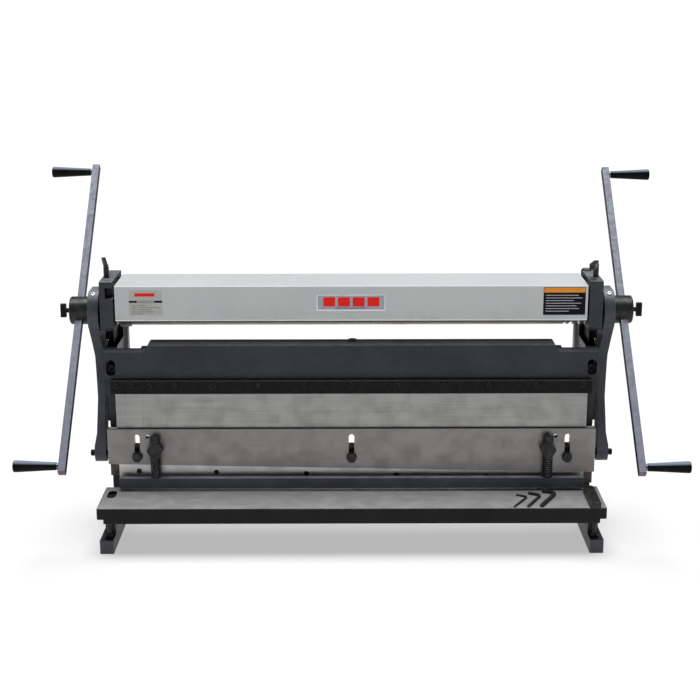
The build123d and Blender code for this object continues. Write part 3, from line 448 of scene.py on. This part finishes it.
# one material for each slot of the record, and the nodes that show another one; the crank bars have their own
material_of_slot = {
    "frame_casting": frame_paint,
    "bracket_casting": bracket_paint,
    "table_plate": table_finish(),
    "ground_steel": die_steel,
    "tool_steel": blade_steel,
    "blackened_steel": clamp_black,
    "screw_steel": dark_steel,
    "bright_screw": zinc,
    "roll_steel": roll_steel,
    "ram_casting": bare_iron(),
    "hub_black": hub_steel,
    "grip_plastic": grip_plastic,
    "cover_paint": cover_coat,
    "bronze": bronze,
    "spring_wire": spring_steel,
    "knob_plastic": knob_plastic,
    "key_steel": dark_steel,
}
material_of_node = {
    "punch_fingers": punch_steel,
    "connecting_rod_left": rod_paint,
    "connecting_rod_right": rod_paint,
    "hold_down_bar": rod_paint,
    "lower_gear": gear_steel,
    "upper_gear": gear_steel,
    "side_guide": dark_steel,
    "spring_posts": dark_steel,
    "die_bolts": dark_steel,
    "clamp_screws": clamp_black,
    "crank_clamp_screw_left": clamp_black,
    "crank_clamp_screw_right": clamp_black,
    "beam_bolts": clamp_black,
    "hold_down_rods": dark_steel,
    "grip_spindles": dark_plate,
    "crank_bar_left": bar_enamel(-0.5905, lean=radians(43.6), shift=0.0015),
    "crank_bar_right": bar_enamel(0.5905, lean=radians(43.0), shift=-0.006),
}


# ---------------------------------------------------------------- pieces
def wear(piece, material):
    """Give a piece one material on all its faces."""
    piece.data.materials.clear()
    piece.data.materials.append(material)


def finish_of(node):
    """The material that a CAD node shows."""
    return material_of_node.get(node) or material_of_slot[slot_of_node[node]]


def add_piece(name, mesh, body, material, smooth_below=35):
    """Wrap a mesh as a piece that rides on a body, smooth except at its corners."""
    piece = bpy.data.objects.new(name, mesh)
    bpy.context.scene.collection.objects.link(piece)
    wear(piece, material)
    shade = bmesh.new()
    shade.from_mesh(mesh)
    for face in shade.faces:
        face.smooth = True
        face.material_index = 0
    for edge in shade.edges:
        edge.smooth = edge.calc_face_angle(pi) < radians(smooth_below)
    shade.to_mesh(mesh)
    shade.free()
    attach(piece, body)
    return piece


def rounded_copy(node, width, segments=2, angle=32):
    """Show a CAD node as a copy with its sharp edges rounded over."""
    mesh = frame["nodes"][node].data.copy()
    mesh.name = f"{node}_rounded"
    shape = bmesh.new()
    shape.from_mesh(mesh)
    bmesh.ops.remove_doubles(shape, verts=shape.verts, dist=1e-6)
    bmesh.ops.dissolve_limit(shape, angle_limit=radians(0.6), verts=shape.verts, edges=shape.edges)
    corners = [e for e in shape.edges if e.is_manifold and e.calc_face_angle(0) > radians(angle)]
    bmesh.ops.bevel(shape, geom=corners, offset=width, offset_type="OFFSET", segments=segments,
                    profile=0.5, affect="EDGES", clamp_overlap=True)
    bmesh.ops.remove_doubles(shape, verts=shape.verts, dist=2e-6)
    bmesh.ops.triangulate(shape, faces=[f for f in shape.faces if len(f.verts) > 4])
    shape.to_mesh(mesh)
    shape.free()
    if "custom_normal" in mesh.attributes:
        mesh.attributes.remove(mesh.attributes["custom_normal"])
    piece = add_piece(f"{node}_shown", mesh, body_of_node[node], finish_of(node), 28)
    weighted = piece.modifiers.new("weighted_normals", "WEIGHTED_NORMAL")
    weighted.keep_sharp = True
    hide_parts(node)
    return piece


for node, shown in frame["nodes"].items():
    wear(shown, finish_of(node))

# width of the rounded edges of the castings, bars and screws that show them
edge_rounding = {
    "side_frame_left": 0.0020, "side_frame_right": 0.0020, "upper_beam": 0.0016,
    "roll_bracket_left": 0.0018, "roll_bracket_right": 0.0018,
    "connecting_rod_left": 0.0018, "connecting_rod_right": 0.0018,
    "table": 0.0007, "clamp_bar": 0.0005, "v_die_plate": 0.0004, "ram": 0.0010,
    "hold_down_bar": 0.0009, "spring_posts": 0.0007, "die_bolts": 0.0005, "clamp_screws": 0.0005,
    "crank_hub_left": 0.0006, "crank_hub_right": 0.0006, "crank_bar_left": 0.0003, "crank_bar_right": 0.0003,
    "crank_clamp_screw_left": 0.0008, "crank_clamp_screw_right": 0.0008,
    "pressure_screw_left": 0.0008, "pressure_screw_right": 0.0008, "beam_bolts": 0.0005,
    "side_guide": 0.0004, "hex_keys": 0.0003, "table_screws": 0.0004, "hold_down_rods": 0.0005,
    "lock_knob_left": 0.0012, "lock_knob_right": 0.0012, "rear_roll_guides": 0.0010,
}
for node, width in edge_rounding.items():
    rounded_copy(node, width)


def tube_along(name, points, radius, sides=12):
    """Mesh of a round wire along a list of points."""
    curve = bpy.data.curves.new(name, "CURVE")
    curve.dimensions = "3D"
    curve.bevel_depth = radius
    curve.bevel_resolution = sides // 4
    curve.use_fill_caps = True
    line = curve.splines.new("POLY")
    line.points.add(len(points) - 1)
    for spot, point in zip(line.points, points):
        spot.co = (*point, 1)
    holder = bpy.data.objects.new(name, curve)
    mesh = bpy.data.meshes.new_from_object(holder)
    bpy.data.objects.remove(holder)
    bpy.data.curves.remove(curve)
    return mesh


def turned(name, profile, start, direction, steps=32):
    """A solid turned about an axis: profile pairs are distance along the axis and radius."""
    shape = bmesh.new()
    rings = []
    for distance, radius in profile:
        ring = [shape.verts.new((radius * cos(a * tau / steps), radius * sin(a * tau / steps), distance))
                for a in range(steps)]
        rings.append(ring)
    for low, high in zip(rings, rings[1:]):
        for a in range(steps):
            b = (a + 1) % steps
            shape.faces.new((low[a], low[b], high[b], high[a]))
    shape.faces.new(list(reversed(rings[0])))
    shape.faces.new(rings[-1])
    bmesh.ops.remove_doubles(shape, verts=shape.verts, dist=1e-7)
    bmesh.ops.recalc_face_normals(shape, faces=shape.faces)
    turn = Vector(direction).to_track_quat("Z", "Y").to_matrix().to_4x4()
    shape.transform(Matrix.Translation(start) @ turn)
    mesh = bpy.data.meshes.new(name)
    shape.to_mesh(mesh)
    shape.free()
    return mesh


# ---------------------------------------------------------------- springs
def spring_points(x, y, low, high, radius, turns, steps=36):
    """Helix with closed, flattened end coils."""
    closed, gap = 0.75, 0.0028  # turns of each closed end, and their rise
    points = []
    for i in range(int(turns * steps) + 1):
        turn = i / steps
        rise = min(max((turn - closed) / (turns - 2 * closed), 0), 1)
        z = low + gap * min(turn, closed) / closed + (high - low - 2 * gap) * rise
        z += gap * max(turn - (turns - closed), 0) / closed
        points.append((x + radius * cos(tau * turn), y + radius * sin(tau * turn), z))
    return points


wire_radius, coil_radius, coil_turns = 0.00145, 0.0098, 9.0
spring_centre_in = 0.0113  # from the outermost point of a spring to its axis
spring_foot, spring_head, wire_seat = 0.1372, 0.181, 0.0015
spring_low, spring_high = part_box("hold_down_springs")
for side, x in (("left", spring_low.x), ("right", spring_high.x)):
    inward = 1 if side == "left" else -1
    centre_x = x + inward * spring_centre_in
    centre_y = (spring_low.y + spring_high.y) / 2
    points = spring_points(centre_x, centre_y, spring_foot + wire_seat, spring_head - wire_seat,
                           coil_radius, coil_turns)
    spring = add_piece(f"hold_down_spring_{side}", tube_along(f"spring_{side}", points, wire_radius),
                       "ram", spring_steel, 60)
    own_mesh(spring)
    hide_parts("hold_down_springs")


# ---------------------------------------------------------------- label plates on the cover
cover_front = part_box("roll_cover")[0].y


def flat_plate(name, x_range, z_range, lift, thick, radius, material):
    """A thin plate with round corners, its face standing lift in front of the cover's front panel."""
    front_y = cover_front - lift
    shape = bmesh.new()
    low_x, high_x = x_range
    low_z, high_z = z_range
    outline = []
    for cx, cz, start in ((high_x - radius, high_z - radius, 0), (low_x + radius, high_z - radius, 1),
                          (low_x + radius, low_z + radius, 2), (high_x - radius, low_z + radius, 3)):
        for step in range(5):
            a = (start + step / 4) * pi / 2
            outline.append((cx + radius * cos(a), cz + radius * sin(a)))
    back = [shape.verts.new((x, front_y + thick, z)) for x, z in outline]
    front = [shape.verts.new((x, front_y, z)) for x, z in outline]
    for i in range(len(outline)):
        j = (i + 1) % len(outline)
        shape.faces.new((front[i], front[j], back[j], back[i]))
    shape.faces.new(front)
    shape.faces.new(list(reversed(back)))
    bmesh.ops.recalc_face_normals(shape, faces=shape.faces)
    mesh = bpy.data.meshes.new(name)
    shape.to_mesh(mesh)
    shape.free()
    return add_piece(name, mesh, "roll_cover", material)


beige_ink = print_ink("beige_ink", (0.48, 0.45, 0.42))
black_ink = print_ink("black_ink", (0.006, 0.006, 0.011), shine=0.3)
grey_ink = print_ink("grey_ink", (0.20, 0.18, 0.17))
red_ink = print_ink("red_ink", (1.0, 0.028, 0.018))
orange_ink = print_ink("orange_ink", (1.0, 0.36, 0.055))
pale_ink = print_ink("pale_ink", (0.60, 0.60, 0.62))
plate_metal = ground_steel("plate_metal", (0.66, 0.67, 0.69), contrast=0.5)


def add_print(name, x_range, z_range, radius, material, layer=1):
    """A printed patch on a label, one or more layers of ink above its ground."""
    ground, ink = 0.0004, 0.0002
    flat_plate(name, x_range, z_range, ground + layer * ink, ink, radius, material)


def add_lines(name, left, top, pitch, lengths, half_height, radius, material):
    """Rows of plain bars that stand in for lines of small print."""
    for row, length in enumerate(lengths):
        z = top - pitch * row
        add_print(f"{name}_{row}", (left, left + length), (z - half_height, z + half_height),
                  radius, material)


def place_data_plate():
    across = (-0.475, -0.404)
    flat_plate("data_plate", across, (0.486, 0.541), 0.0004, 0.0004, 0.002,
               print_ink("data_plate_ground", (0.57, 0.565, 0.555)))
    add_print("data_plate_band", across, (0.5138, 0.5182), 0.0004, black_ink)
    add_print("data_plate_band_middle", (-0.458, -0.421), (0.5143, 0.5177), 0.0004, beige_ink, layer=2)
    add_print("data_plate_mark", (-0.463, -0.420), (0.5275, 0.5345), 0.0010, red_ink)
    add_lines("data_plate_line", -0.469, 0.5075, 0.0045, (0.030, 0.060, 0.040, 0.050, 0.024),
              0.0005, 0.0002, grey_ink)


def place_name_plate():
    flat_plate("name_plate_rim", (-0.0745, 0.0735), (0.4955, 0.5315), 0.0010, 0.0010, 0.0015, plate_metal)
    flat_plate("name_plate_field", (-0.0715, 0.0705), (0.4985, 0.5285), 0.0013, 0.0004, 0.0010,
               print_ink("name_plate_ground", (0.46, 0.47, 0.56)))
    bar_lift, bar_thick, bar_length, bar_pitch = 0.0015, 0.0003, 0.0255, 0.0315
    for bar in range(4):
        x = -0.060 + bar * bar_pitch
        flat_plate(f"name_plate_bar_{bar}", (x, x + bar_length), (0.5052, 0.5252), bar_lift, bar_thick,
                   0.002, red_ink)
    flat_plate("name_plate_foot", (-0.035, 0.032), (0.5010, 0.5026), bar_lift, bar_thick, 0.0003, grey_ink)


def place_notice():
    flat_plate("notice_ground", (0.4105, 0.5005), (0.4855, 0.5455), 0.0004, 0.0004, 0.0015, black_ink)
    add_print("notice_header", (0.4115, 0.4995), (0.5345, 0.5445), 0.0010, orange_ink)
    add_lines("notice_line", 0.4155, 0.5285, 0.0058, (0.070, 0.078, 0.060, 0.076, 0.066, 0.072, 0.050),
              0.0007, 0.0003, pale_ink)


# plain plates without any lettering: a data plate, a framed nameplate and a notice
place_data_plate()
place_name_plate()
place_notice()

# ---------------------------------------------------------------- oilers on the connecting rods
# profiles: distance along the axis, radius
oiler_profile = ((0, 0.0044), (0.0016, 0.0044), (0.0026, 0.0038), (0.0028, 0.0024), (0.0006, 0.0020),
                 (0.0006, 0.0003))
oiler_ball = ((0.0004, 0.0019), (0.0016, 0.0017), (0.0022, 0.0010), (0.0024, 0.0002))
ring_radius, sunk, rod_middle, tilt = 0.052, 0.0003, 0.5555, radians(54)
reach = ring_radius - sunk
direction = (0, -cos(tilt), sin(tilt))
for side, sign in (("left", -1), ("right", 1)):
    start = (sign * rod_middle, crank_pin_y - reach * cos(tilt), crank_pin_z + reach * sin(tilt))
    add_piece(f"rod_oiler_{side}", turned(f"rod_oiler_{side}", oiler_profile, start, direction),
              f"rod_{side}", zinc)
    add_piece(f"rod_oiler_ball_{side}", turned(f"rod_oiler_ball_{side}", oiler_ball, start, direction),
              f"rod_{side}", dark_steel)


# ---------------------------------------------------------------- floor, light and camera
def studio():
    """A pale floor that glows like the photo's white ground, a broad light overhead and one in front."""
    shape = bmesh.new()
    bmesh.ops.create_circle(shape, cap_ends=True, segments=96, radius=60)
    mesh = bpy.data.meshes.new("floor")
    shape.to_mesh(mesh)
    shape.free()
    floor = bpy.data.objects.new("floor", mesh)
    bpy.context.scene.collection.objects.link(floor)
    s = Shader("floor_paper")
    s.set(Base_Color=s.mix(s.noise(0.8, 2), (0.45, 0.45, 0.45), (0.47, 0.47, 0.47)), Roughness=0.95,
          Specular_IOR_Level=0.0, Emission_Color=(1.0, 1.0, 1.0), Emission_Strength=0.46)
    wear(floor, s.material)

    world = bpy.data.worlds.new("studio")
    bpy.context.scene.world = world
    world.use_nodes = True
    world.node_tree.nodes["Background"].inputs["Color"].default_value = (1.0, 1.0, 1.0, 1)
    world.node_tree.nodes["Background"].inputs["Strength"].default_value = 0.07

    ceiling = bpy.data.lights.new("ceiling", "SUN")
    ceiling.energy = 3.9
    ceiling.angle = radians(45)
    glow = bpy.data.objects.new("ceiling", ceiling)
    bpy.context.scene.collection.objects.link(glow)
    glow.rotation_euler = (radians(-6), 0, 0)

    softbox = bpy.data.lights.new("front_softbox", "AREA")
    softbox.shape = "RECTANGLE"
    softbox.size, softbox.size_y = 3.4, 2.0
    softbox.energy = 3
    lamp = bpy.data.objects.new("front_softbox", softbox)
    bpy.context.scene.collection.objects.link(lamp)
    lamp.location = (-0.6, -4.4, 2.6)
    lamp.rotation_euler = (Vector((0, 0, 0.35)) - lamp.location).to_track_quat("-Z", "Y").to_euler()


def place_camera():
    """The photo's own view, from a camera that was fitted to it."""
    pitch, yaw, roll = radians(14.9), radians(0.07), radians(0.1)
    place = (-0.0066, -3.0427, 1.2056)
    lens = bpy.data.cameras.new("camera")
    lens.sensor_width = 36
    lens.lens = 73.97
    lens.clip_end = 200
    camera = bpy.data.objects.new("camera", lens)
    bpy.context.scene.collection.objects.link(camera)
    turn = Matrix.Rotation(-yaw, 4, "Z") @ Matrix.Rotation(pi / 2 - pitch, 4, "X")
    turn = turn @ Matrix.Rotation(-roll, 4, "Z")
    camera.matrix_world = Matrix.Translation(place) @ turn
    bpy.context.scene.camera = camera


studio()
place_camera()
bpy.context.scene.view_settings.view_transform = "Standard"
